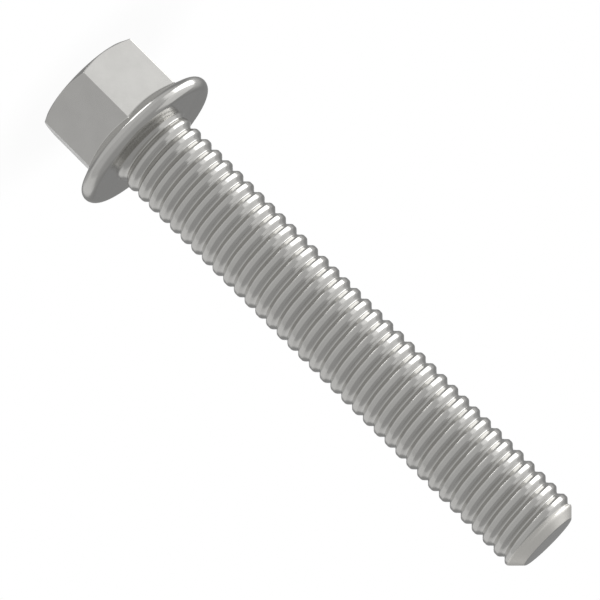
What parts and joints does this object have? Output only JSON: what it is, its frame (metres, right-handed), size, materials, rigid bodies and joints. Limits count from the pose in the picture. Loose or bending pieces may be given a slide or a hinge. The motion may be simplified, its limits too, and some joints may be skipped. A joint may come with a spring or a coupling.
{
  "type": "flange bolt",
  "caption": "Hexagon head bolt with an integral round flange, a straight shank threaded to the head and a chamfered tip.",
  "frame": {"origin": "centre of the bearing face under the flange, on the bolt's axis", "axes": "+Z along the shank to the tip, +X through a corner of the hexagon"},
  "size_m": [0.011, 0.011, 0.0429],
  "materials": {
    "steel": "plain satin steel, cold formed head and rolled thread"
  },
  "bodies": {
    "root": {"flange_bolt": "steel"}
  },
  "joints": []
}
